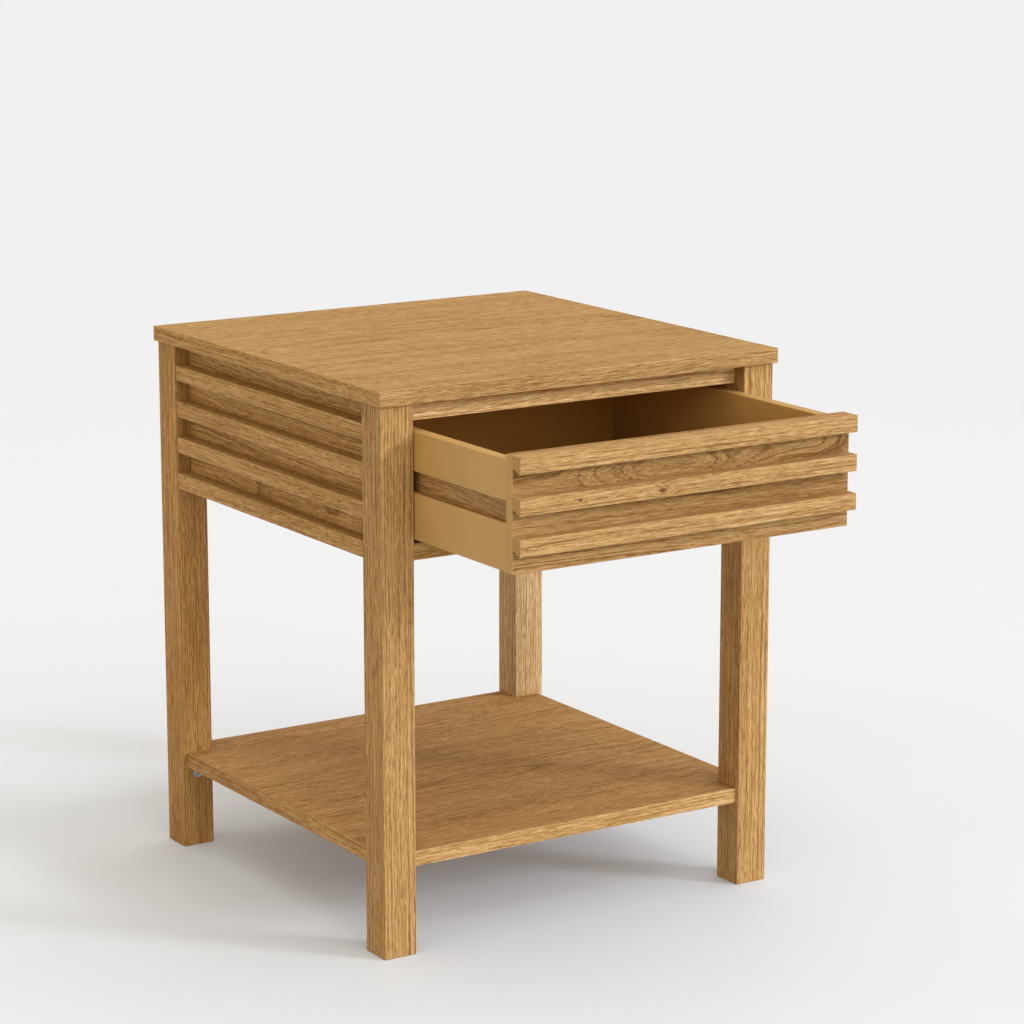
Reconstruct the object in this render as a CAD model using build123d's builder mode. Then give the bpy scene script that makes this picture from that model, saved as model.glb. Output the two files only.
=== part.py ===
"""Oak nightstand with square legs, slatted aprons, one slatted drawer and a shelf notched round the legs.

Millimetres, +Z up. The origin is on the floor, midway between the four legs. The front faces -Y and the
right-hand side faces +X. The drawer is modelled partly open, which is its rest position.
"""

from build123d import *
import os

# Frame
frame_size = 450.0            # over the legs, in width and in depth
total_height = 550.0
leg_size = 35.0
edge_ease = 0.9               # rounding of the touched edges of solid oak
foot_chamfer = 0.7

# Top and shelf, veneered boards with oak edge bands
top_thickness = 15.0
top_side_overhang = 3.0
top_end_overhang = 4.0
edge_band = 1.2
band_ease = 0.5
shelf_thickness = 15.0
shelf_top = 101.5
shelf_side_inset = 5.5
shelf_end_inset = 4.0
notch_clearance = 0.4

# Aprons and slats
apron_bottom = 385.5
apron_thickness = 18.0
apron_recess = 17.0           # from the legs' outer faces to the apron's face
slat_count = 4
slat_height = 16.5
slat_pitch = 37.4
slat_inset = 1.5              # from the legs' outer faces to the slats' faces
slat_undercut = 5.7           # the underside rises by this much towards the back
top_rail_height = 19.5

# Drawer
drawer_open = 182.0           # how far out the drawer stands at rest
drawer_side_gap = 1.0         # between the drawer and the legs
front_board_thickness = 10.0
front_board_bottom = 405.5
drawer_slat_depth = 13.0
drawer_side_thickness = 12.0
drawer_side_bottom = 406.5
drawer_side_top = 509.0
drawer_side_length = 378.0
drawer_bottom_height = 414.0
drawer_bottom_thickness = 4.0
drawer_bottom_tongue = 5.0
panel_play = 0.1              # play of the bottom panel in its grooves
thin_dowel_radius = 3.0
thin_dowel_in_board = 6.0
thin_dowel_in_side = 20.0
thin_dowel_heights = (428.0, 492.0)
back_screw_heights = (430.0, 490.0)
back_screw_bite = 19.0        # length of a back screw in the drawer's back

# Drawer stops, pegs on the drawer's sides that catch the top rail
stop_setback = 60.0           # from the rear end of the drawer's side
stop_length = 12.0
stop_width = 9.0
stop_rise = 13.0
stop_corner_radius = 2.0
stop_top_ease = 1.0
stop_pin_radius = 2.5
stop_pin_length = 12.0

# Runners, in grooves along the drawer's sides
groove_height = 20.5
groove_depth = 6.5
groove_centre = 461.25
runner_height = 19.5
runner_play = 0.5
runner_setback = 29.0         # from the legs' front faces to the runner's front end
runner_length = 382.0
runner_lead_in = 1.0
runner_screw_ys = (-150.0, 0.0, 150.0)
runner_screw_bite = 8.0       # length of a runner screw in the side apron

# Shelf brackets: an L of strip steel under the shelf at each leg, with one screw in each arm
bracket_width = 12.0
bracket_drop = 12.0
bracket_reach = 15.0
bracket_strip = 1.5
bracket_end_radius = 5.0
bracket_screw_offset = 7.0
bracket_screw_bite = 11.0

# Joint hardware
dowel_radius = 4.0
dowel_in_leg = 12.0
dowel_in_panel = 18.0
dowel_in_top = 10.0
bore_relief = 0.5             # bores are this much deeper than what they hold
bore_play = 0.1               # and this much larger in radius
side_dowel_heights = (408.0, 505.0)
side_bolt_height = 432.0
back_dowel_heights = (396.0, 493.0)
back_bolt_height = 444.0
bolt_in_leg = 11.0
bolt_radius = 3.0
bolt_collar_radius = 3.5
bolt_collar_height = 1.5
bolt_cone_height = 3.0        # from the panel's end to the top of the cone above the collar
bolt_shank_radius = 2.6
bolt_neck_radius = 1.8
bolt_neck_length = 2.5
bolt_head_radius = 3.4
bolt_head_height = 2.5
cam_distance = 34.0           # from the end of a panel to the centre of its cam
cam_radius = 7.4
cam_height = 12.6
cam_sink = 0.2
cam_bore_radius = 3.7
cam_head_room = 4.0           # past the cam's centre, for the head of the bolt
cam_cross_length = 9.0
cam_cross_width = 1.5
cam_cross_depth = 2.5
top_bolt_offset = 120.0
screw_radius = 1.75
screw_head_radius = 3.4
screw_head_height = 2.2
screw_cross_length = 3.8
screw_cross_width = 0.8
countersink_angle = 72.0
pilot_relief = 1.0            # pilot holes are this much deeper than their screws

# Derived sizes
half = frame_size / 2
leg_length = total_height - top_thickness
inner = half - leg_size                             # the legs' inner faces
leg_centre = half - leg_size / 2
span = 2 * inner                                    # between the legs
apron_face = half - apron_recess
apron_centre = apron_face - apron_thickness / 2
apron_inside = apron_face - apron_thickness
top_rail_bottom = leg_length - top_rail_height
slat_depth = apron_recess - slat_inset
slat_tops = [apron_bottom + slat_height + i * slat_pitch for i in range(slat_count)]
bottom_rail_height = slat_height
shelf_bottom = shelf_top - shelf_thickness
bracket_screw_height = shelf_bottom - bracket_screw_offset
cam_channel_radius = cam_bore_radius - bore_play

UP = (0, 0, 1)
DOWN = (0, 0, -1)
STANDING = (Align.CENTER, Align.CENTER, Align.MIN)
SIDES = ((-1, "left"), (1, "right"))
ENDS = ((-1, "front"), (1, "rear"))

os.makedirs("parts", exist_ok=True)


def save(piece, name):
    """Label a finished piece and write it to its own file."""
    piece.part.label = name
    export_step(piece.part, f"parts/{name}.step")


def bore(centre, mouth, radius, depth):
    """Drill a blind bore into the open part. mouth is the direction in which the bore opens."""
    with Locations(Plane(origin=centre, z_dir=mouth)):
        Hole(radius + bore_play, depth + bore_relief)


def box(x_span, y_span, z_span, mode=Mode.ADD):
    """Fill, or cut, the box between three pairs of coordinates in the open part."""
    spans = (x_span, y_span, z_span)
    with Locations(tuple((low + high) / 2 for low, high in spans)):
        Box(*[high - low for low, high in spans], mode=mode)


# Where the aprons meet the legs: each entry is the joint's point, and the way from the leg into the apron.
dowel_joints = []
bolt_joints = []
for x_side, _ in SIDES:
    for y_side, _ in ENDS:
        into_side = (0, -y_side, 0)
        dowel_joints += [((x_side * apron_centre, y_side * inner, z), into_side) for z in side_dowel_heights]
        bolt_joints.append(((x_side * apron_centre, y_side * inner, side_bolt_height), into_side))
    into_back = (-x_side, 0, 0)
    dowel_joints += [((x_side * inner, apron_centre, z), into_back) for z in back_dowel_heights]
    bolt_joints.append(((x_side * inner, apron_centre, back_bolt_height), into_back))
    rail_heights = (apron_bottom + bottom_rail_height / 2, top_rail_bottom + top_rail_height / 2)
    dowel_joints += [((x_side * inner, -apron_centre, z), into_back) for z in rail_heights]

leg_top_joints = [(x * leg_centre, y * leg_centre, leg_length) for x, _ in SIDES for y, _ in ENDS]
top_bolt_joints = [(x * apron_centre, y * top_bolt_offset, leg_length) for x, _ in SIDES for y, _ in ENDS]


def in_box(point, x_span, y_span):
    """Tell whether a joint's point lies on the plan rectangle of a piece, or on its edge."""
    return x_span[0] <= point[0] <= x_span[1] and y_span[0] <= point[1] <= y_span[1]


# Legs ------------------------------------------------------------------------------------------------
for x_side, x_name in SIDES:
    for y_side, y_name in ENDS:
        with BuildPart() as leg:
            with BuildSketch(Plane.XY):
                with Locations((x_side * leg_centre, y_side * leg_centre)):
                    Rectangle(leg_size, leg_size)
            extrude(amount=leg_length)
            fillet(leg.edges().filter_by(Axis.Z), edge_ease)
            chamfer(leg.faces().sort_by(Axis.Z)[0].edges(), foot_chamfer)
            x_span = sorted((x_side * inner, x_side * half))
            y_span = sorted((y_side * inner, y_side * half))
            for point, mouth in dowel_joints:
                if in_box(point, x_span, y_span):
                    bore(point, mouth, dowel_radius, dowel_in_leg)
            for point, mouth in bolt_joints:
                if in_box(point, x_span, y_span):
                    bore(point, mouth, bolt_radius, bolt_in_leg)
            bore((x_side * leg_centre, y_side * leg_centre, leg_length), UP, dowel_radius, dowel_in_panel)
            bore((x_side * leg_centre, y_side * inner, bracket_screw_height), (0, -y_side, 0), screw_radius,
                 bracket_screw_bite)
        save(leg, f"leg_{y_name}_{x_name}")

# Top panel and its edge bands ------------------------------------------------------------------------
top_x = half + top_side_overhang
top_y = half + top_end_overhang
with BuildPart() as top_panel:
    box((-top_x + edge_band, top_x - edge_band), (-top_y + edge_band, top_y - edge_band),
        (leg_length, total_height))
    for point in leg_top_joints:
        bore(point, DOWN, dowel_radius, dowel_in_top)
    for point in top_bolt_joints:
        bore(point, DOWN, bolt_radius, bolt_in_leg)
save(top_panel, "top_panel")

for y_side, y_name in ENDS:
    with BuildPart() as band:
        box((-top_x, top_x), sorted((y_side * (top_y - edge_band), y_side * top_y)),
            (leg_length, total_height))
        outer_face = band.faces().sort_by(Axis.Y)[0 if y_side < 0 else -1]
        fillet(outer_face.edges(), band_ease)
    save(band, f"top_edge_{y_name}")

for x_side, x_name in SIDES:
    with BuildPart() as band:
        box(sorted((x_side * (top_x - edge_band), x_side * top_x)),
            (-top_y + edge_band, top_y - edge_band), (leg_length, total_height))
        outer_face = band.faces().sort_by(Axis.X)[0 if x_side < 0 else -1]
        fillet(outer_face.edges().filter_by(Axis.Y), band_ease)
    save(band, f"top_edge_{x_name}")

# Side aprons and back apron --------------------------------------------------------------------------
for x_side, x_name in SIDES:
    with BuildPart() as side_apron:
        box(sorted((x_side * apron_inside, x_side * apron_face)), (-inner, inner),
            (apron_bottom, leg_length))
        inwards = (-x_side, 0, 0)
        for y_side, _ in ENDS:
            mouth = (0, y_side, 0)
            for z in side_dowel_heights:
                bore((x_side * apron_centre, y_side * inner, z), mouth, dowel_radius, dowel_in_panel)
            bore((x_side * apron_centre, y_side * inner, side_bolt_height), mouth, cam_channel_radius,
                 cam_distance)
            bore((x_side * apron_centre, y_side * top_bolt_offset, leg_length), UP, cam_channel_radius,
                 cam_distance)
            for y, z in ((inner - cam_distance, side_bolt_height),
                         (top_bolt_offset, leg_length - cam_distance)):
                bore((x_side * apron_inside, y_side * y, z), inwards, cam_radius, cam_height)
        for y in runner_screw_ys:
            bore((x_side * apron_inside, y, groove_centre), inwards, screw_radius,
                 runner_screw_bite + pilot_relief)
    save(side_apron, f"side_apron_{x_name}")

with BuildPart() as back_apron:
    box((-inner, inner), (apron_inside, apron_face), (apron_bottom, leg_length))
    for x_side, _ in SIDES:
        mouth = (x_side, 0, 0)
        for z in back_dowel_heights:
            bore((x_side * inner, apron_centre, z), mouth, dowel_radius, dowel_in_panel)
        bore((x_side * inner, apron_centre, back_bolt_height), mouth, cam_channel_radius, cam_distance)
        bore((x_side * (inner - cam_distance), apron_inside, back_bolt_height), (0, -1, 0), cam_radius,
             cam_height)
save(back_apron, "back_apron")

# Front rails, above and below the drawer -------------------------------------------------------------
for name, z_low, z_high in (("front_top_rail", top_rail_bottom, leg_length),
                            ("front_bottom_rail", apron_bottom, apron_bottom + bottom_rail_height)):
    with BuildPart() as rail:
        box((-inner, inner), (-apron_face, -apron_inside), (z_low, z_high))
        fillet(rail.edges().filter_by(Axis.X).sort_by(Axis.Y)[:2], band_ease)
        for x_side, _ in SIDES:
            bore((x_side * inner, -apron_centre, (z_low + z_high) / 2), (x_side, 0, 0), dowel_radius,
                 dowel_in_panel)
    save(rail, name)


# Slats -----------------------------------------------------------------------------------------------
def slat(origin, outward, length, depth, name):
    """Write one slat. origin is the middle of its top edge on the face behind it."""
    along = (outward[1], -outward[0], 0)
    with BuildPart() as bar:
        with BuildSketch(Plane(origin=origin, x_dir=outward, z_dir=along)):
            with BuildLine():
                Polyline((0, 0), (depth, 0), (depth, -slat_height), (0, slat_undercut - slat_height),
                         close=True)
            make_face()
        extrude(amount=length / 2, both=True)
        front_face = bar.faces().sort_by(Axis((0, 0, 0), outward))[-1]
        fillet(front_face.edges(), edge_ease)
    save(bar, name)


for x_side, x_name in SIDES:
    for i, slat_top in enumerate(slat_tops):
        slat((x_side * apron_face, 0, slat_top), (x_side, 0, 0), span, slat_depth, f"slat_{x_name}_{i + 1}")
slat((0, -apron_face, slat_tops[0]), (0, -1, 0), span, slat_depth, "front_fixed_slat")

# Shelf, its edge bands and its brackets --------------------------------------------------------------
shelf_x = half - shelf_side_inset
shelf_y = half - shelf_end_inset
notch = inner - notch_clearance
with BuildPart() as shelf:
    with BuildSketch(Plane.XY.offset(shelf_bottom)):
        Rectangle(2 * (shelf_x - edge_band), 2 * (shelf_y - edge_band))
        with GridLocations(2 * (notch + leg_size), 2 * (notch + leg_size), 2, 2):
            Rectangle(2 * leg_size, 2 * leg_size, mode=Mode.SUBTRACT)
    extrude(amount=shelf_thickness)
    for x_side, _ in SIDES:
        for y_side, _ in ENDS:
            y = y_side * (inner - bracket_strip - bracket_screw_offset)
            bore((x_side * leg_centre, y, shelf_bottom), DOWN, screw_radius, bracket_screw_bite)
save(shelf, "shelf")

for y_side, y_name in ENDS:
    with BuildPart() as band:
        box((-notch, notch), sorted((y_side * (shelf_y - edge_band), y_side * shelf_y)),
            (shelf_bottom, shelf_top))
        outer_face = band.faces().sort_by(Axis.Y)[0 if y_side < 0 else -1]
        fillet(outer_face.edges().filter_by(Axis.X), band_ease)
    save(band, f"shelf_edge_{y_name}")

for x_side, x_name in SIDES:
    with BuildPart() as band:
        box(sorted((x_side * (shelf_x - edge_band), x_side * shelf_x)), (-notch, notch),
            (shelf_bottom, shelf_top))
        outer_face = band.faces().sort_by(Axis.X)[0 if x_side < 0 else -1]
        fillet(outer_face.edges().filter_by(Axis.Y), band_ease)
    save(band, f"shelf_edge_{x_name}")

for x_side, x_name in SIDES:
    for y_side, y_name in ENDS:
        corner = (x_side * leg_centre, y_side * inner, shelf_bottom)
        section = Plane(origin=corner, x_dir=(0, -y_side, 0), z_dir=(-y_side, 0, 0))
        with BuildPart() as bracket:
            with BuildSketch(section):
                with BuildLine():
                    Polyline((0, 0), (bracket_reach, 0), (bracket_reach, -bracket_strip),
                             (bracket_strip, -bracket_strip), (bracket_strip, -bracket_drop),
                             (0, -bracket_drop), close=True)
                make_face()
            extrude(amount=bracket_width / 2, both=True)
            end_edges = bracket.edges().filter_by(Axis.Y).group_by(Axis.Z)[0]
            fillet(end_edges, bracket_end_radius)
            reach_edges = bracket.edges().filter_by(Axis.Z).group_by(Axis.Y)[-1 if y_side < 0 else 0]
            fillet(reach_edges, bracket_end_radius)
            drop_hole = (corner[0], corner[1] - y_side * bracket_strip, bracket_screw_height)
            bore(drop_hole, (0, -y_side, 0), screw_radius, bracket_strip)
            reach_hole = (corner[0], corner[1] - y_side * (bracket_strip + bracket_screw_offset),
                          shelf_bottom - bracket_strip)
            bore(reach_hole, DOWN, screw_radius, bracket_strip)
        save(bracket, f"shelf_bracket_{y_name}_{x_name}")


# Fasteners -------------------------------------------------------------------------------------------
def screw(length, countersunk):
    """A cross-head wood screw on the Z axis, with the top of its head at the origin and its point below."""
    head_rim = [] if countersunk else [(screw_head_radius, -screw_head_height)]
    with BuildPart() as body:
        with BuildSketch(Plane.XZ):
            with BuildLine():
                Polyline((0, 0), (screw_head_radius, 0), *head_rim, (screw_radius, -screw_head_height),
                         (screw_radius, screw_radius - length), (0, -length), close=True)
            make_face()
        revolve(axis=Axis.Z)
        with BuildSketch(Plane.XY):
            Rectangle(screw_cross_length, screw_cross_width)
            Rectangle(screw_cross_width, screw_cross_length)
        extrude(amount=-screw_head_height / 2, mode=Mode.SUBTRACT)
    return body.part


countersink_radius = screw_head_radius + 2 * bore_play


def save_group(piece, planes, name):
    """Write copies of one piece, one on each plane, as a single node."""
    with BuildPart() as group:
        with Locations(*planes):
            add(piece)
    save(group, name)


with BuildPart() as panel_dowels:
    for point, into_panel in dowel_joints:
        with Locations(Plane(origin=point, z_dir=into_panel).offset(-dowel_in_leg)):
            Cylinder(dowel_radius, dowel_in_leg + dowel_in_panel, align=STANDING)
    for point in leg_top_joints:
        with Locations(Plane(origin=point, z_dir=UP).offset(-dowel_in_panel)):
            Cylinder(dowel_radius, dowel_in_panel + dowel_in_top, align=STANDING)
save(panel_dowels, "panel_dowels")

neck_top = cam_distance - bolt_head_height
neck_bottom = neck_top - bolt_neck_length
with BuildPart() as cam_bolt:
    with BuildSketch(Plane.XZ):
        with BuildLine():
            Polyline((0, -bolt_in_leg), (bolt_radius, -bolt_in_leg), (bolt_radius, 0),
                     (bolt_collar_radius, 0), (bolt_collar_radius, bolt_collar_height),
                     (bolt_shank_radius, bolt_cone_height), (bolt_shank_radius, neck_bottom),
                     (bolt_neck_radius, neck_bottom), (bolt_neck_radius, neck_top),
                     (bolt_head_radius, neck_top), (bolt_head_radius, cam_distance), (0, cam_distance),
                     close=True)
        make_face()
    revolve(axis=Axis.Z)
bolt_planes = [Plane(origin=point, z_dir=into_panel) for point, into_panel in bolt_joints]
bolt_planes += [Plane(origin=point, z_dir=DOWN) for point in top_bolt_joints]
save_group(cam_bolt.part, bolt_planes, "cam_bolts")

with BuildPart() as cam_nut:
    with BuildSketch(Plane.XY.offset(-cam_sink - cam_height)):
        Circle(cam_radius)
    extrude(amount=cam_height)
    with BuildSketch(Plane.YZ.offset(-cam_head_room)):
        with Locations((0, -apron_thickness / 2)):
            Circle(cam_bore_radius)
    extrude(amount=cam_head_room + 2 * cam_radius, mode=Mode.SUBTRACT)
    with BuildSketch(Plane.XY.offset(-cam_sink)):
        Rectangle(cam_cross_length, cam_cross_width)
        Rectangle(cam_cross_width, cam_cross_length)
    extrude(amount=-cam_cross_depth, mode=Mode.SUBTRACT)
cam_planes = []
for x_side, _ in SIDES:
    inwards = (-x_side, 0, 0)
    for y_side, _ in ENDS:
        end_cam = (x_side * apron_inside, y_side * (inner - cam_distance), side_bolt_height)
        top_cam = (x_side * apron_inside, y_side * top_bolt_offset, leg_length - cam_distance)
        cam_planes.append(Plane(origin=end_cam, x_dir=(0, y_side, 0), z_dir=inwards))
        cam_planes.append(Plane(origin=top_cam, x_dir=UP, z_dir=inwards))
    back_cam = (x_side * (inner - cam_distance), apron_inside, back_bolt_height)
    cam_planes.append(Plane(origin=back_cam, x_dir=(x_side, 0, 0), z_dir=(0, -1, 0)))
save_group(cam_nut.part, cam_planes, "cam_nuts")

bracket_screw_planes = []
head = bracket_strip + screw_head_height
for x_side, _ in SIDES:
    x = x_side * leg_centre
    for y_side, _ in ENDS:
        in_leg = (x, y_side * (inner - head), bracket_screw_height)
        in_shelf = (x, y_side * (inner - bracket_strip - bracket_screw_offset), shelf_bottom - head)
        bracket_screw_planes.append(Plane(origin=in_leg, z_dir=(0, -y_side, 0)))
        bracket_screw_planes.append(Plane(origin=in_shelf, z_dir=DOWN))
bracket_screw = screw(bracket_screw_bite + head, countersunk=False)
save_group(bracket_screw, bracket_screw_planes, "shelf_bracket_screws")

# Runners ---------------------------------------------------------------------------------------------
runner_thickness = groove_depth + drawer_side_gap - runner_play
runner_front = -half + runner_setback
runner_inside = apron_inside - runner_thickness
runner_screw_planes = []
for x_side, x_name in SIDES:
    screw_mouths = [Plane(origin=(x_side * runner_inside, y, groove_centre), z_dir=(-x_side, 0, 0))
                    for y in runner_screw_ys]
    with BuildPart() as runner:
        box(sorted((x_side * apron_inside, x_side * runner_inside)),
            (runner_front, runner_front + runner_length),
            (groove_centre - runner_height / 2, groove_centre + runner_height / 2))
        chamfer(runner.faces().sort_by(Axis.Y)[0].edges(), runner_lead_in)
        with Locations(*screw_mouths):
            CounterSinkHole(screw_radius + bore_play, countersink_radius,
                            counter_sink_angle=countersink_angle)
    save(runner, f"runner_{x_name}")
    runner_screw_planes += [mouth.offset(-bore_play) for mouth in screw_mouths]
runner_screw = screw(runner_thickness + runner_screw_bite, countersunk=True)
save_group(runner_screw, runner_screw_planes, "runner_screws")

# Drawer ----------------------------------------------------------------------------------------------
drawer_x = inner - drawer_side_gap
board_front = -half + slat_inset + drawer_slat_depth - drawer_open
board_back = board_front + front_board_thickness
side_rear = board_back + drawer_side_length
drawer_inner_x = drawer_x - drawer_side_thickness
side_centre_x = drawer_x - drawer_side_thickness / 2
back_front = side_rear - drawer_side_thickness
back_centre_y = side_rear - drawer_side_thickness / 2
bottom_z = (drawer_bottom_height, drawer_bottom_height + drawer_bottom_thickness)
tongue = drawer_bottom_tongue - panel_play
stop_y = side_rear - stop_setback


def bottom_groove():
    """Cut the groove for the bottom panel out of the open part."""
    x_reach = drawer_inner_x + drawer_bottom_tongue
    box((-x_reach, x_reach), (board_back - drawer_bottom_tongue, back_front + drawer_bottom_tongue),
        (bottom_z[0] - panel_play, bottom_z[1] + panel_play), mode=Mode.SUBTRACT)


with BuildPart() as drawer_front_board:
    box((-drawer_x, drawer_x), (board_front, board_back), (front_board_bottom, slat_tops[-1]))
    fillet(drawer_front_board.faces().sort_by(Axis.Y)[0].edges(), edge_ease)
    bottom_groove()
    for x_side, _ in SIDES:
        for z in thin_dowel_heights:
            bore((x_side * side_centre_x, board_back, z), (0, 1, 0), thin_dowel_radius, thin_dowel_in_board)
save(drawer_front_board, "drawer_front_board")

for i, slat_top in enumerate(slat_tops[1:]):
    slat((0, board_front, slat_top), (0, -1, 0), 2 * drawer_x, drawer_slat_depth, f"drawer_slat_{i + 1}")

back_screw_planes = []
for x_side, x_name in SIDES:
    screw_mouths = [Plane(origin=(x_side * drawer_x, back_centre_y, z), z_dir=(x_side, 0, 0))
                    for z in back_screw_heights]
    with BuildPart() as drawer_side:
        box(sorted((x_side * drawer_inner_x, x_side * drawer_x)), (board_back, side_rear),
            (drawer_side_bottom, drawer_side_top))
        fillet(drawer_side.faces().sort_by(Axis.Z)[-1].edges().filter_by(Axis.Y), edge_ease)
        box(sorted((x_side * (drawer_x - groove_depth), x_side * drawer_x)), (board_back, side_rear),
            (groove_centre - groove_height / 2, groove_centre + groove_height / 2), mode=Mode.SUBTRACT)
        bottom_groove()
        for z in thin_dowel_heights:
            bore((x_side * side_centre_x, board_back, z), (0, -1, 0), thin_dowel_radius, thin_dowel_in_side)
        with Locations(*screw_mouths):
            CounterSinkHole(screw_radius + bore_play, countersink_radius,
                            counter_sink_angle=countersink_angle)
        bore((x_side * side_centre_x, stop_y, drawer_side_top), UP, stop_pin_radius, stop_pin_length)
    save(drawer_side, f"drawer_side_{x_name}")
    back_screw_planes += [mouth.offset(-bore_play) for mouth in screw_mouths]

with BuildPart() as drawer_back:
    box((-drawer_inner_x, drawer_inner_x), (back_front, side_rear), (drawer_side_bottom, drawer_side_top))
    fillet(drawer_back.faces().sort_by(Axis.Z)[-1].edges().filter_by(Axis.X), edge_ease)
    bottom_groove()
    for x_side, _ in SIDES:
        for z in back_screw_heights:
            bore((x_side * drawer_inner_x, back_centre_y, z), (x_side, 0, 0), screw_radius,
                 back_screw_bite + pilot_relief)
save(drawer_back, "drawer_back")

with BuildPart() as drawer_bottom:
    box((-drawer_inner_x - tongue, drawer_inner_x + tongue),
        (board_back - tongue, back_front + tongue), bottom_z)
save(drawer_bottom, "drawer_bottom")

with BuildPart() as drawer_dowels:
    for x_side, _ in SIDES:
        for z in thin_dowel_heights:
            with Locations(Plane(origin=(x_side * side_centre_x, board_back - thin_dowel_in_board, z),
                                 z_dir=(0, 1, 0))):
                Cylinder(thin_dowel_radius, thin_dowel_in_board + thin_dowel_in_side, align=STANDING)
save(drawer_dowels, "drawer_dowels")

back_screw = screw(drawer_side_thickness + back_screw_bite, countersunk=True)
save_group(back_screw, back_screw_planes, "drawer_back_screws")

for x_side, x_name in SIDES:
    with BuildPart() as stop:
        box(sorted((x_side * (side_centre_x - stop_width / 2), x_side * (side_centre_x + stop_width / 2))),
            (stop_y - stop_length / 2, stop_y + stop_length / 2),
            (drawer_side_top, drawer_side_top + stop_rise))
        fillet(stop.edges().filter_by(Axis.Z), stop_corner_radius)
        fillet(stop.faces().sort_by(Axis.Z)[-1].edges(), stop_top_ease)
        with Locations((x_side * side_centre_x, stop_y, drawer_side_top - stop_pin_length)):
            Cylinder(stop_pin_radius, stop_pin_length, align=STANDING)
    save(stop, f"drawer_stop_{x_name}")
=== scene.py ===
"""Studio picture of an oak nightstand with slatted aprons, a slatted drawer and a low shelf.

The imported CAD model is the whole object. This script gives every node its own procedural finish and
adds the floor, the light and the camera. Lengths are in metres, in the frame of the CAD model.
"""

import math
import random

import bpy
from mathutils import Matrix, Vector


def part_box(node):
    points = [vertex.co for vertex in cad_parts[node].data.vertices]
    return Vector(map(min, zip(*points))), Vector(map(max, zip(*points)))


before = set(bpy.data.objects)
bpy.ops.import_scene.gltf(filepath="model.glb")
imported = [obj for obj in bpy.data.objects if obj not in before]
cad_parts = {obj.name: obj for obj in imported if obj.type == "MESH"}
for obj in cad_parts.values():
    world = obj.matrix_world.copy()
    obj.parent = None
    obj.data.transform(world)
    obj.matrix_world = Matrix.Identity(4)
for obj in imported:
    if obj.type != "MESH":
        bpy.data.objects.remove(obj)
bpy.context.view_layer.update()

MM = 0.001
AXES = {"X": 0, "Y": 1, "Z": 2}
PLAIN = (1, 1, 1)


def tinted(colour, tint):
    return tuple(c * t for c, t in zip(colour, tint))


# Shader graph helper ------------------------------------------------------------------------------
class Graph:
    """Adds nodes to one shader tree. An input is set by name or number, from a socket or value."""

    def __init__(self, tree):
        self.tree = tree

    def node(self, kind, inputs=None, **settings):
        made = self.tree.nodes.new(kind)
        for name, value in settings.items():
            setattr(made, name, value)
        for key, value in (inputs or {}).items():
            self.feed(made.inputs[key], value)
        return made

    def feed(self, socket, value):
        if isinstance(value, bpy.types.NodeSocket):
            self.tree.links.new(value, socket)
        else:
            socket.default_value = value

    def math(self, operation, *values, clamp=False):
        made = self.node("ShaderNodeMath", dict(enumerate(values)), operation=operation,
                         use_clamp=clamp)
        return made.outputs[0]

    def swing(self, value, size):
        """A value from 0 to 1, moved to lie round 0 and scaled to this size."""
        return self.math("MULTIPLY", self.math("SUBTRACT", value, 0.5), size)

    def vector(self, operation, *values):
        made = self.node("ShaderNodeVectorMath", dict(enumerate(values)), operation=operation)
        return made.outputs["Value" if operation == "LENGTH" else "Vector"]

    def stretch(self, point, scales):
        return self.vector("MULTIPLY", point, scales)

    def noise(self, point, detail=2.0, roughness=0.5, output="Fac"):
        made = self.node("ShaderNodeTexNoise", {"Vector": point, "Scale": 1.0, "Detail": detail,
                                                "Roughness": roughness})
        return made.outputs[output]

    def remap(self, value, low, high, to_low=0.0, to_high=1.0, smooth=True):
        made = self.node("ShaderNodeMapRange", {"Value": value, "From Min": low, "From Max": high,
                                                "To Min": to_low, "To Max": to_high},
                         interpolation_type="SMOOTHSTEP" if smooth else "LINEAR")
        return made.outputs["Result"]

    def split(self, point):
        return self.node("ShaderNodeSeparateXYZ", {0: point}).outputs

    def join(self, x, y, z):
        return self.node("ShaderNodeCombineXYZ", {0: x, 1: y, 2: z}).outputs[0]

    def mix(self, share, a, b):
        """Colour a, turning into colour b as share goes from 0 to 1."""
        made = self.node("ShaderNodeMix", data_type="RGBA")
        self.feed(made.inputs["Factor"], share)
        self.feed(made.inputs[6], a)
        self.feed(made.inputs[7], b)
        return made.outputs[2]

    def ramp(self, value, stops):
        made = self.node("ShaderNodeValToRGB", {"Fac": value})
        elements = made.color_ramp.elements
        while len(elements) < len(stops):
            elements.new(0.5)
        for element, (place, colour) in zip(elements, stops):
            element.position = place
            element.color = (*colour, 1.0)
        return made.outputs["Color"]

    def bump(self, height, strength, distance):
        made = self.node("ShaderNodeBump", {"Strength": strength, "Distance": distance,
                                            "Height": height})
        return made.outputs[0]


# Oak ----------------------------------------------------------------------------------------------
# Texture scales are in cycles per metre, first along the grain and then across it.
SWAY_SCALE = (2.6, 9, 9)
WOBBLE_SCALE = (16, 120, 120)
WOBBLE_SIZE = 0.32 * MM
UNEVEN_RING_SCALE = 150
UNEVEN_RING_SIZE = 3.2
PATCH_SCALE = (6, 60, 60)
PORE_SCALE = (90, 1150, 1150)
RAY_SCALE = 190
RAY_HEIGHT_SCALE = 110
RAYS_PER_RADIAN = 70
# Each layer of the wood's tone has a scale, a size and a roughness.
STREAKS = ((7, 430, 430), 0.48, 0.55)
FIBRES = ((15, 900, 900), 1.15, 0.6)
DASHES = ((75, 1400, 1400), 1.60, 0.6)
CLOUDS = ((3, 26, 26), 0.35, 0.5)
MIDDLE_TONE = 0.54


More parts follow.
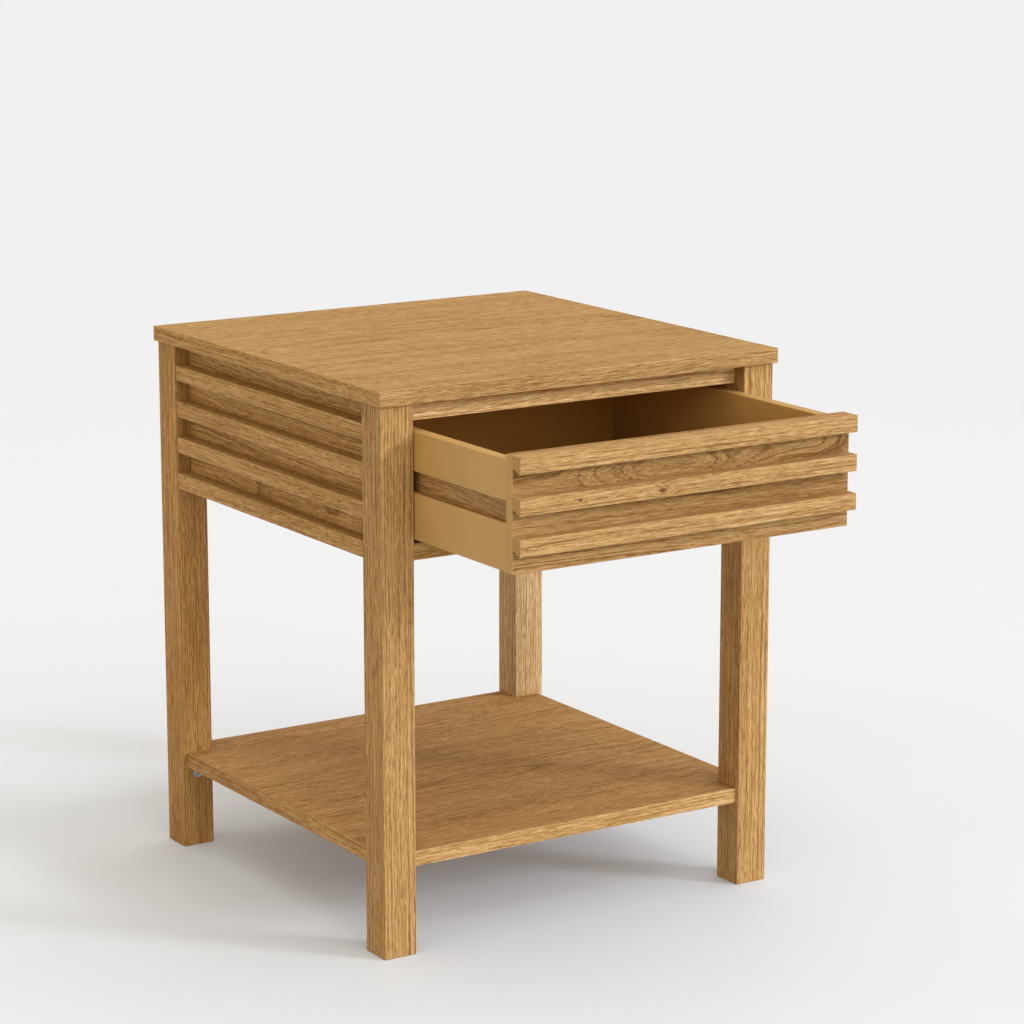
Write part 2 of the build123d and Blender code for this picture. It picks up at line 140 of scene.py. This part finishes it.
def oak_group():
    """Solid oak: growth rings round a pith along local X, with pores, fibre streaks and ray flecks.

    Point is the place in the wood, in metres, with X along the grain and the pith at Y = Z = 0.
    Figure is how far the rings wander, Ring is their spacing and Lines is how dark they are. Tone
    is the wood's lightness from 0 to 1, and Pore and Fleck are masks.
    """
    tree = bpy.data.node_groups.new("oak", "ShaderNodeTree")
    for name, kind in (("Point", "NodeSocketVector"), ("Figure", "NodeSocketFloat"),
                       ("Ring", "NodeSocketFloat"), ("Lines", "NodeSocketFloat")):
        tree.interface.new_socket(name, in_out="INPUT", socket_type=kind)
    for name in ("Tone", "Pore", "Fleck"):
        tree.interface.new_socket(name, in_out="OUTPUT", socket_type="NodeSocketFloat")
    g = Graph(tree)
    given = g.node("NodeGroupInput").outputs
    centred = (-0.5, -0.5, -0.5)

    slow = g.noise(g.stretch(given["Point"], SWAY_SCALE), 1.5, output="Color")
    slow = g.vector("ADD", slow, centred)
    sway = g.node("ShaderNodeVectorMath", {0: slow, "Scale": given["Figure"]}, operation="SCALE")
    fine = g.noise(g.stretch(given["Point"], WOBBLE_SCALE), output="Color")
    wobble = g.stretch(g.vector("ADD", fine, centred), (0, WOBBLE_SIZE, WOBBLE_SIZE))
    place = g.vector("ADD", g.vector("ADD", given["Point"], sway.outputs[0]), wobble)
    along, across, up = (g.split(place)[i] for i in range(3))
    radius = g.vector("LENGTH", g.join(0.0, across, up))
    angle = g.math("ARCTAN2", up, across)

    # Each year starts with a dark porous line and lightens towards the next one.
    years = g.math("DIVIDE", radius, given["Ring"])
    uneven = g.noise(g.join(0.0, 0.0, g.math("MULTIPLY", radius, UNEVEN_RING_SCALE)))
    year = g.math("FRACT", g.math("ADD", years, g.math("MULTIPLY", uneven, UNEVEN_RING_SIZE)))
    early = g.math("MAXIMUM", g.remap(year, 0.02, 0.5, 1, 0), g.remap(year, 0.86, 1.0))
    line = g.math("MAXIMUM", g.remap(year, 0.0, 0.16, 1, 0), g.remap(year, 0.93, 1.0))
    ringed = g.math("ADD", early, line)
    patchy = g.remap(g.noise(g.stretch(place, PATCH_SCALE), 1), 0.35, 0.65, 0.35, 1.0)
    strength = g.math("MULTIPLY", patchy, given["Lines"])

    lift = g.math("MULTIPLY", g.math("SUBTRACT", 0.4, ringed), strength)
    tone = g.math("ADD", MIDDLE_TONE, lift)
    for scale, size, roughness in (STREAKS, FIBRES, DASHES, CLOUDS):
        layer = g.noise(g.stretch(place, scale), roughness=roughness)
        tone = g.math("ADD", tone, g.swing(layer, size))
    tone = g.math("ADD", tone, 0.0, clamp=True)

    specks = g.remap(g.noise(g.stretch(place, PORE_SCALE), 1), 0.54, 0.63)
    pore = g.math("MULTIPLY", specks, g.math("ADD", 0.4, g.math("MULTIPLY", early, 0.6)))
    ray = g.join(g.math("MULTIPLY", along, RAY_SCALE), g.math("MULTIPLY", radius, RAY_HEIGHT_SCALE),
                 g.math("MULTIPLY", angle, RAYS_PER_RADIAN))
    fleck = g.remap(g.noise(ray, 1), 0.63, 0.74)

    made = g.node("NodeGroupOutput")
    for name, value in (("Tone", tone), ("Pore", pore), ("Fleck", fleck)):
        g.feed(made.inputs[name], value)
    return tree


OAK = oak_group()
OAK_DARK = (0.196, 0.087, 0.019)
OAK_MIDDLE = (0.364, 0.193, 0.057)
OAK_LIGHT = (0.535, 0.322, 0.126)
KNOT = (0.090, 0.036, 0.010)
NARROW_RING = 2.2 * MM
LEG_RING = 2.4 * MM
USUAL_RING = 3.2 * MM
APRON_RING = 3.6 * MM
VENEER_RING = 4.2 * MM
WIDE_RING = 4.4 * MM
# How far each mark turns the colour under it, from 0 to 1.
FLECK_SHARE = 0.3
PORE_SHARE = 0.78
HALO_SHARE = 0.6
KNOT_SHARE = 0.85
END_GRAIN_SHARE = 0.65
# Oak edges are painted paler, as wear and as a painted highlight.
OAK_EDGE_WEAR_AND_HIGHLIGHT = 0.35
OAK_RELIEF = 0.22 * MM
OAK_SPECULAR = 0.16
DARK_ROUGHNESS = 0.70
LIGHT_ROUGHNESS = 0.60
PORE_ROUGHNESS = 0.2


def edge_wear_and_highlight_mask(g, point, node):
    """A mask along the edges of a box-shaped node, broken up by noise. It paints the edges paler:
    wear, and a painted highlight on the rounded edges.
    """
    low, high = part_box(node)
    near = [g.math("MINIMUM", g.math("SUBTRACT", p, low[i]), g.math("SUBTRACT", high[i], p))
            for i, p in enumerate(g.split(point)[:3])]
    nearest = g.math("MINIMUM", g.math("MINIMUM", near[0], near[1]), near[2])
    furthest = g.math("MAXIMUM", g.math("MAXIMUM", near[0], near[1]), near[2])
    total = g.math("ADD", g.math("ADD", near[0], near[1]), near[2])
    second = g.math("SUBTRACT", total, g.math("ADD", nearest, furthest))
    broken = g.noise(g.stretch(point, (160, 160, 160)))
    wear_and_highlight = g.remap(second, 0.2 * MM, 1.3 * MM, 1, 0)
    return g.math("MULTIPLY", wear_and_highlight, g.remap(broken, 0.3, 0.7))


def swelling(g, parts, centre, height, half_length, half_width):
    """A smooth hump in the wood at one place along the board, 1 at its middle and 0 at its rim."""
    run = g.math("DIVIDE", g.math("SUBTRACT", parts[0], centre), half_length)
    rise = g.math("DIVIDE", g.math("SUBTRACT", parts[2], height), half_width)
    uneven = g.noise(g.join(g.math("MULTIPLY", run, 1.3), g.math("MULTIPLY", rise, 1.3), 0.0), 1)
    rise = g.math("ADD", rise, g.swing(uneven, 0.4))
    return g.remap(g.vector("LENGTH", g.join(run, rise, 0.0)), 0.0, 1.0, 1, 0)


def oak_colour(g, point, node, grain, pith, seed, figure=0.012, ring=USUAL_RING, lines=0.16,
               tint=PLAIN, knots=(), crowns=()):
    """Colour, tone and pore mask of oak with its grain along an axis.

    pith is where the centre of the tree lies across the grain, from the node's centre, and seed
    picks a place along the tree. Each knot is (place along the board, height, radius), and each
    crown, where rings close into arcs, is (place, height, half length, half width, lift).
    """
    low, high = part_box(node)
    centre = (low + high) / 2
    first = AXES[grain]
    order = (first, (first + 1) % 3, (first + 2) % 3)
    parts = g.split(g.vector("SUBTRACT", point, tuple(centre)))
    turned = g.join(*[parts[i] for i in order])
    for place, height, radius in knots:
        hump = swelling(g, parts, place, height, 9 * radius, 5 * radius)
        lift = g.math("MULTIPLY", hump, 1.4 * radius)
        turned = g.vector("ADD", turned, g.join(0.0, lift, lift))
    for place, height, half_length, half_width, most in crowns:
        hump = swelling(g, parts, place, height, half_length, half_width)
        turned = g.vector("ADD", turned, g.join(0.0, g.math("MULTIPLY", hump, most), 0.0))
    shift = (random.Random(seed).uniform(2, 9), -pith[0], -pith[1])
    wood = g.node("ShaderNodeGroup", node_tree=OAK)
    g.feed(wood.inputs["Point"], g.vector("ADD", turned, shift))
    for name, value in (("Figure", figure), ("Ring", ring), ("Lines", lines)):
        g.feed(wood.inputs[name], value)
    tone, pore, fleck = (wood.outputs[n] for n in ("Tone", "Pore", "Fleck"))
    dark, middle, light = (tinted(c, tint) for c in (OAK_DARK, OAK_MIDDLE, OAK_LIGHT))
    colour = g.ramp(tone, ((0.12, dark), (0.5, middle), (0.92, light)))
    colour = g.mix(g.math("MULTIPLY", fleck, FLECK_SHARE), colour, (*light, 1))
    colour = g.mix(g.math("MULTIPLY", pore, PORE_SHARE), colour, (*dark, 1))
    for place, height, radius in knots:
        halo = swelling(g, parts, place, height, 5.0 * radius, 2.6 * radius)
        colour = g.mix(g.math("MULTIPLY", halo, HALO_SHARE), colour, (*dark, 1))
        core = g.remap(swelling(g, parts, place, height, 2.8 * radius, 1.6 * radius), 0.1, 0.7)
        colour = g.mix(g.math("MULTIPLY", core, KNOT_SHARE), colour, (*KNOT, 1))
    return colour, tone, pore


def new_material(name):
    material = bpy.data.materials.new(name)
    material.use_nodes = True
    g = Graph(material.node_tree)
    shader = material.node_tree.nodes["Principled BSDF"]
    point = g.node("ShaderNodeTexCoord").outputs["Object"]
    return material, g, shader, point


def oak(node, grain, pith, seed, cover=None, tint=PLAIN, **wood):
    """Oiled or lacquered oak. cover may paint another finish over a part of the node."""
    material, g, shader, point = new_material(f"oak_{node}")
    colour, tone, pore = oak_colour(g, point, node, grain, pith, seed, tint=tint, **wood)
    facing = g.split(g.node("ShaderNodeTexCoord").outputs["Normal"])[AXES[grain]]
    end_grain = g.remap(g.math("ABSOLUTE", facing), 0.6, 0.9, 0, END_GRAIN_SHARE)
    colour = g.mix(end_grain, colour, (*tinted(OAK_MIDDLE, tint), 1))
    # Paler edges: wear, and a painted highlight on the rounded edges.
    wear_and_highlight = edge_wear_and_highlight_mask(g, point, node)
    colour = g.mix(g.math("MULTIPLY", wear_and_highlight, OAK_EDGE_WEAR_AND_HIGHLIGHT), colour, (*tinted(OAK_LIGHT, tint), 1))
    relief = g.math("SUBTRACT", g.math("MULTIPLY", tone, 0.5), pore)
    rough = g.math("ADD", g.remap(tone, 0, 1, DARK_ROUGHNESS, LIGHT_ROUGHNESS, smooth=False),
                   g.math("MULTIPLY", pore, PORE_ROUGHNESS))
    if cover is not None:
        colour, relief, rough = cover(g, point, colour, relief, rough)
    g.feed(shader.inputs["Base Color"], colour)
    g.feed(shader.inputs["Roughness"], rough)
    g.feed(shader.inputs["Normal"], g.bump(relief, 0.5, OAK_RELIEF))
    shader.inputs["Specular IOR Level"].default_value = OAK_SPECULAR
    return material


# Foil, steel, nylon and beech ---------------------------------------------------------------------
FOIL = (0.440, 0.252, 0.076)
# The drawer's back and bottom are painted darker and more orange, as painted shade inside the drawer.
INSIDE_PAINTED_SHADE_TINT = (1.00, 0.90, 0.55)
# Foil edges are painted paler, as wear and as a painted highlight.
FOIL_EDGE_WEAR_AND_HIGHLIGHT = 0.25
FOIL_RELIEF = 0.05 * MM
FOIL_SPECULAR = 0.3


def foil_parts(g, point, tint=PLAIN):
    """Colour, relief and roughness of a plain tan foil with a faint printed grain."""
    mottle = g.noise(g.stretch(point, (22, 22, 22)), 3)
    print_grain = g.noise(g.stretch(point, (900, 14, 900)))
    grit = g.noise(g.stretch(point, (2600, 2600, 2600)), 1)
    value = g.math("ADD", g.math("MULTIPLY", mottle, 0.6), g.math("MULTIPLY", print_grain, 0.4))
    tan = tinted(FOIL, tint)
    colour = g.ramp(value, ((0.3, tinted(tan, (0.93, 0.92, 0.9))),
                            (0.7, tinted(tan, (1.06, 1.07, 1.09)))))
    rough = g.remap(mottle, 0.3, 0.7, 0.46, 0.56)
    return colour, grit, rough


def foil(node, cover=None, tint=PLAIN):
    """Foiled board. cover may paint another colour over a part of the node."""
    material, g, shader, point = new_material(f"foil_{node}")
    colour, grit, rough = foil_parts(g, point, tint)
    if cover is not None:
        colour = cover(g, point, node, colour)
    # Paler edges: wear, and a painted highlight on the rounded edges.
    wear_and_highlight = edge_wear_and_highlight_mask(g, point, node)
    pale = tinted(FOIL, (1.25, 1.3, 1.4))
    colour = g.mix(g.math("MULTIPLY", wear_and_highlight, FOIL_EDGE_WEAR_AND_HIGHLIGHT), colour, (*pale, 1))
    g.feed(shader.inputs["Base Color"], colour)
    g.feed(shader.inputs["Roughness"], rough)
    g.feed(shader.inputs["Normal"], g.bump(grit, 0.2, FOIL_RELIEF))
    shader.inputs["Specular IOR Level"].default_value = FOIL_SPECULAR
    return material


def steel(node):
    """Zinc-plated steel with fine scratches and dull spots."""
    material, g, shader, point = new_material(f"zinc_{node}")
    spangle = g.noise(g.stretch(point, (500, 500, 500)), 3)
    scratches = g.noise(g.stretch(point, (300, 6000, 2500)))
    colour = g.ramp(spangle, ((0.3, (0.34, 0.34, 0.33)), (0.7, (0.56, 0.56, 0.55))))
    g.feed(shader.inputs["Base Color"], colour)
    g.feed(shader.inputs["Roughness"], g.remap(spangle, 0.3, 0.7, 0.3, 0.5))
    g.feed(shader.inputs["Normal"], g.bump(scratches, 0.25, 0.03 * MM))
    shader.inputs["Metallic"].default_value = 1.0
    return material


def nylon(node):
    """Dark moulded nylon with a spark-eroded surface."""
    material, g, shader, point = new_material(f"nylon_{node}")
    grain = g.noise(g.stretch(point, (3500, 3500, 3500)))
    colour = g.ramp(grain, ((0.3, (0.022, 0.021, 0.020)), (0.7, (0.040, 0.038, 0.036))))
    g.feed(shader.inputs["Base Color"], colour)
    g.feed(shader.inputs["Roughness"], g.remap(grain, 0.3, 0.7, 0.4, 0.55))
    g.feed(shader.inputs["Normal"], g.bump(grain, 0.3, 0.04 * MM))
    return material


def beech(node):
    """Planed beech: even pinkish wood with short dark flecks along Y."""
    material, g, shader, point = new_material(f"beech_{node}")
    fibre = g.noise(g.stretch(point, (420, 12, 420)), 3, 0.6)
    dashes = g.remap(g.noise(g.stretch(point, (1260, 36, 1260)), 1), 0.6, 0.7)
    colour = g.ramp(fibre, ((0.3, (0.34, 0.20, 0.10)), (0.7, (0.48, 0.31, 0.17))))
    colour = g.mix(g.math("MULTIPLY", dashes, 0.5), colour, (0.22, 0.11, 0.05, 1))
    g.feed(shader.inputs["Base Color"], colour)
    g.feed(shader.inputs["Roughness"], g.remap(fibre, 0.3, 0.7, 0.6, 0.48))
    g.feed(shader.inputs["Normal"], g.bump(fibre, 0.3, 0.1 * MM))
    return material


# Which finish each node takes ---------------------------------------------------------------------
def paint(node, material):
    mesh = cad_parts[node].data
    mesh.materials.clear()
    mesh.materials.append(material)


def foil_behind_front(g, point, colour, relief, rough):
    """The drawer's front board is foiled on its two ends and on its back."""
    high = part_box("drawer_front_board")[1]
    x, y = g.split(point)[0], g.split(point)[1]
    end = g.remap(g.math("ABSOLUTE", x), high.x - 0.6 * MM, high.x - 0.3 * MM)
    back = g.remap(y, high.y - 0.5 * MM, high.y - 0.2 * MM)
    mask = g.math("MAXIMUM", end, back)
    tan, grit, dull = foil_parts(g, point)
    colour = g.mix(mask, colour, tan)
    relief = g.node("ShaderNodeMix", {"Factor": mask, 2: relief, 3: grit}).outputs[0]
    rough = g.node("ShaderNodeMix", {"Factor": mask, 2: rough, 3: dull}).outputs[0]
    return colour, relief, rough


GROOVE_RING = 3.4 * MM
GROOVE_TINT = (0.9, 0.86, 0.8)


def bare_groove(g, point, node, colour):
    """The runner's groove in a drawer side is cut through the foil into darker wood."""
    runner_low, runner_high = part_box("runner_left")
    side_low, side_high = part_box("drawer_side_right")
    middle = (runner_low.z + runner_high.z) / 2
    half_height = (runner_high.z - runner_low.z) / 2 + 0.55 * MM
    x, z = (g.split(point)[i] for i in (0, 2))
    level = g.math("ABSOLUTE", g.math("SUBTRACT", z, middle))
    in_groove = g.math("LESS_THAN", level, half_height)
    half_side = (side_low.x + side_high.x) / 2 - 0.6 * MM
    outside = g.math("GREATER_THAN", g.math("ABSOLUTE", x), half_side)
    wood = oak_colour(g, point, node, "Y", (0.05, 0.02), seed=91, figure=0.03, ring=GROOVE_RING,
                      lines=0.2, tint=GROOVE_TINT)[0]
    return g.mix(g.math("MULTIPLY", in_groove, outside), colour, wood)


# Each leg's tint. The rear right leg is painted much paler and cooler, as painted light; the rear
# left leg is painted darker and warmer, as painted shade. The front legs' tints are slight.
LEG_TINTS_AND_PAINTED_LIGHT = {"front_left": (0.96, 0.98, 1.01), "front_right": (1.02, 1.05, 1.08),
             "rear_left": (0.98, 0.93, 0.84), "rear_right": (1.32, 1.56, 2.20)}
TOP_TINT = (0.97, 1.01, 1.06)
SHELF_TINT = (1.06, 1.06, 1.10)
# The side aprons are painted paler, as painted light that lifts the shade between their slats.
SIDE_APRON_PAINTED_LIGHT_TINT = (1.12, 1.11, 1.06)
# The front top rail is painted much paler and cooler than its wood: painted light where the top's
# overhang shades it.
RAIL_PAINTED_LIGHT_TINT = (1.72, 2.00, 2.60)
# Front-facing pieces are painted paler and cooler, as a painted sheen of the light in front of them.
FRONT_PAINTED_SHEEN_TINT = (1.00, 1.05, 1.16)
SHELF_FRONT_PAINTED_SHEEN_TINT = tinted(FRONT_PAINTED_SHEEN_TINT, (1.1, 1.1, 1.1))
FRONT_BOARD_TINT = (0.84, 0.82, 0.82)
SLATS_PER_SIDE = 4
DRAWER_SLATS = 3


def pith_at(distance, degrees):
    """A place across the grain, this far from the board's centre."""
    turn = math.radians(degrees)
    return (distance * math.cos(turn), distance * math.sin(turn))


def finish_legs():
    for i, (name, tint) in enumerate(LEG_TINTS_AND_PAINTED_LIGHT.items()):
        node = f"leg_{name}"
        pith = pith_at(0.055, 38 + 90 * i)
        paint(node, oak(node, "Z", pith, seed=11 + i, figure=0.010, ring=LEG_RING, lines=0.22,
                        tint=tint))


def finish_boards():
    """The top and the shelf, with their edge bands."""
    paint("top_panel", oak("top_panel", "X", (0.02, -0.075), seed=21, figure=0.045,
                           ring=VENEER_RING, tint=TOP_TINT))
    paint("shelf", oak("shelf", "X", (-0.05, -0.06), seed=22, figure=0.045, ring=VENEER_RING,
                       tint=SHELF_TINT))
    for i, side in enumerate(("front", "rear", "left", "right")):
        grain = "X" if side in ("front", "rear") else "Y"
        for j, (board, painted_sheen_tint) in enumerate((("top", FRONT_PAINTED_SHEEN_TINT), ("shelf", SHELF_FRONT_PAINTED_SHEEN_TINT))):
            node = f"{board}_edge_{side}"
            # Front edges take the painted sheen.
            tint = painted_sheen_tint if side == "front" else PLAIN
            paint(node, oak(node, grain, (0.03, 0.05), seed=31 + i + 10 * j, ring=NARROW_RING,
                            lines=0.1, tint=tint))


def finish_aprons():
    """The aprons with their slats, and the rails at the front."""
    for i, side in enumerate(("left", "right")):
        node = f"side_apron_{side}"
        # The side aprons take painted light.
        paint(node, oak(node, "Y", (-0.055, 0.045), seed=51 + i, figure=0.04, ring=APRON_RING,
                        lines=0.3, tint=SIDE_APRON_PAINTED_LIGHT_TINT))
        for k in range(1, SLATS_PER_SIDE + 1):
            slat = f"slat_{side}_{k}"
            pith = pith_at(0.06, 25 + 37 * k + 60 * i)
            paint(slat, oak(slat, "Y", pith, seed=60 + 10 * i + k, lines=0.1))
    paint("back_apron", oak("back_apron", "X", (0.05, 0.01), seed=53, figure=0.05, ring=APRON_RING,
                            lines=0.3))
    for i, node in enumerate(("front_top_rail", "front_bottom_rail", "front_fixed_slat")):
        # Only the front top rail takes the painted light tint.
        tint = RAIL_PAINTED_LIGHT_TINT if node == "front_top_rail" else PLAIN
        paint(node, oak(node, "X", (0.05, 0.03 + 0.01 * i), seed=54 + i, tint=tint))


def finish_drawer():
    crowns = ((0.0, 0.034, 0.150, 0.034, 0.024), (0.14, 0.040, 0.10, 0.03, 0.012))
    knots = ((-0.125, 0, 1.2 * MM), (-0.035, -1 * MM, 2.2 * MM))
    knotty_slat = 2
    front = oak("drawer_front_board", "X", (0.05, 0.012), seed=71, figure=0.03, ring=WIDE_RING,
                lines=0.34, crowns=crowns, tint=FRONT_BOARD_TINT, cover=foil_behind_front)
    paint("drawer_front_board", front)
    for k in range(1, DRAWER_SLATS + 1):
        # The drawer slats take the painted sheen of the front.
        slat = f"drawer_slat_{k}"
        paint(slat, oak(slat, "X", (0.05, 0.02 * k), seed=80 + k, figure=0.014, tint=FRONT_PAINTED_SHEEN_TINT,
                        knots=knots if k == knotty_slat else ()))
    for side in ("left", "right"):
        paint(f"drawer_side_{side}", foil(f"drawer_side_{side}", bare_groove))
        paint(f"drawer_stop_{side}", nylon(f"drawer_stop_{side}"))
    # The inside of the drawer takes painted shade.
    for node in ("drawer_back", "drawer_bottom"):
        paint(node, foil(node, tint=INSIDE_PAINTED_SHADE_TINT))


def finish_hardware():
    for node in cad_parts:
        if node.startswith("shelf_bracket") or node.endswith("screws") or node.startswith("cam_"):
            paint(node, steel(node))
    for node in ("runner_left", "runner_right", "panel_dowels", "drawer_dowels"):
        paint(node, beech(node))


finish_legs()
finish_boards()
finish_aprons()
finish_drawer()
finish_hardware()


# Floor --------------------------------------------------------------------------------------------
FLOOR = (0.595, 0.614, 0.630)
FLOOR_RADIUS = 6.0
FADE_START = 0.7
FADE_END = 3.2
# A faint cool glow of the floor, as from the many reflections of a white studio, lifts the shadows.
GLOW = (0.80, 0.93, 1.10, 1.0)
GLOW_STRENGTH = 0.08


def make_floor():
    """A round pale floor that fades into the background well away from the object."""
    bpy.ops.mesh.primitive_circle_add(vertices=96, radius=FLOOR_RADIUS, fill_type="NGON")
    floor = bpy.context.object
    floor.name = "floor"
    material, g, shader, point = new_material("studio_floor")
    patches = g.noise(g.stretch(point, (3, 3, 3)), 3)
    colour = g.ramp(patches, ((0.3, tinted(FLOOR, (0.99, 0.99, 0.99))),
                              (0.7, tinted(FLOOR, (1.01, 1.01, 1.01)))))
    g.feed(shader.inputs["Base Color"], colour)
    shader.inputs["Emission Color"].default_value = GLOW
    shader.inputs["Emission Strength"].default_value = GLOW_STRENGTH
    shader.inputs["Roughness"].default_value = 0.6
    shader.inputs["Specular IOR Level"].default_value = 0.2
    fade = g.remap(g.vector("LENGTH", point), FADE_START, FADE_END)
    clear = g.node("ShaderNodeBsdfTransparent").outputs[0]
    blend = g.node("ShaderNodeMixShader", {0: fade, 1: shader.outputs[0], 2: clear})
    out = material.node_tree.nodes["Material Output"]
    g.feed(out.inputs["Surface"], blend.outputs[0])
    floor.data.materials.append(material)


make_floor()


# Light --------------------------------------------------------------------------------------------
BACKGROUND = (0.879, 0.879, 0.879)
BACK_WALL = (0.66, 0.55, 0.40)
WALL_DIRECTION = (-0.60, 0.80)
COOL = (1.0, 1.05, 1.18)
PALE = (1.0, 0.95, 0.88)


def add_sun(name, towards, irradiance, spread, colour):
    """A distant light in the direction towards, with spread as its width in degrees."""
    light = bpy.data.lights.new(name, "SUN")
    light.energy = irradiance
    light.angle = math.radians(spread)
    light.color = colour
    lamp = bpy.data.objects.new(name, light)
    bpy.context.scene.collection.objects.link(lamp)
    lamp.rotation_mode = "QUATERNION"
    lamp.rotation_quaternion = Vector(towards).to_track_quat("Z", "Y")


def make_surround():
    """An even pale surround, with a dimmer, warmer wall above the horizon, behind on the left."""
    world = bpy.data.worlds.new("studio")
    world.use_nodes = True
    g = Graph(world.node_tree)
    x, y, z = (g.split(g.node("ShaderNodeTexCoord").outputs["Generated"])[i] for i in range(3))
    behind = g.math("ADD", g.math("MULTIPLY", x, WALL_DIRECTION[0]),
                    g.math("MULTIPLY", y, WALL_DIRECTION[1]))
    wall = g.math("MULTIPLY", g.remap(behind, -0.5, 0.5), g.remap(z, 0.0, 0.12))
    colour = g.mix(wall, (*BACKGROUND, 1), (*BACK_WALL, 1))
    g.feed(world.node_tree.nodes["Background"].inputs["Color"], colour)
    bpy.context.scene.world = world


def make_light():
    """A low key light on the front right, a softer one in front, fills above and on the left."""
    add_sun("key", (0.70, -0.80, 0.41), 1.38, 12, COOL)
    add_sun("soft_key", (0.15, -0.90, 0.50), 0.85, 55, PLAIN)
    add_sun("overhead", (0.20, -0.15, 1.00), 0.97, 80, PLAIN)
    add_sun("left_fill", (-0.90, -0.40, 0.50), 0.46, 60, PALE)


make_surround()
make_light()


# Camera -------------------------------------------------------------------------------------------
def make_camera():
    """A long lens at twice the table's height, turned to the right and tilted down."""
    camera = bpy.data.cameras.new("camera")
    camera.sensor_width = 36
    camera.lens = 117.2
    camera.clip_start = 0.1
    camera.clip_end = 50
    holder = bpy.data.objects.new("camera", camera)
    bpy.context.scene.collection.objects.link(holder)
    holder.location = (-1.749, -2.820, 1.091)
    turn_right = 0.5711
    tilt_down = 0.2142
    holder.rotation_euler = (math.pi / 2 - tilt_down, 0, -turn_right)
    bpy.context.scene.camera = holder


make_camera()
bpy.context.scene.view_settings.view_transform = "Standard"
bpy.context.scene.view_settings.look = "None"
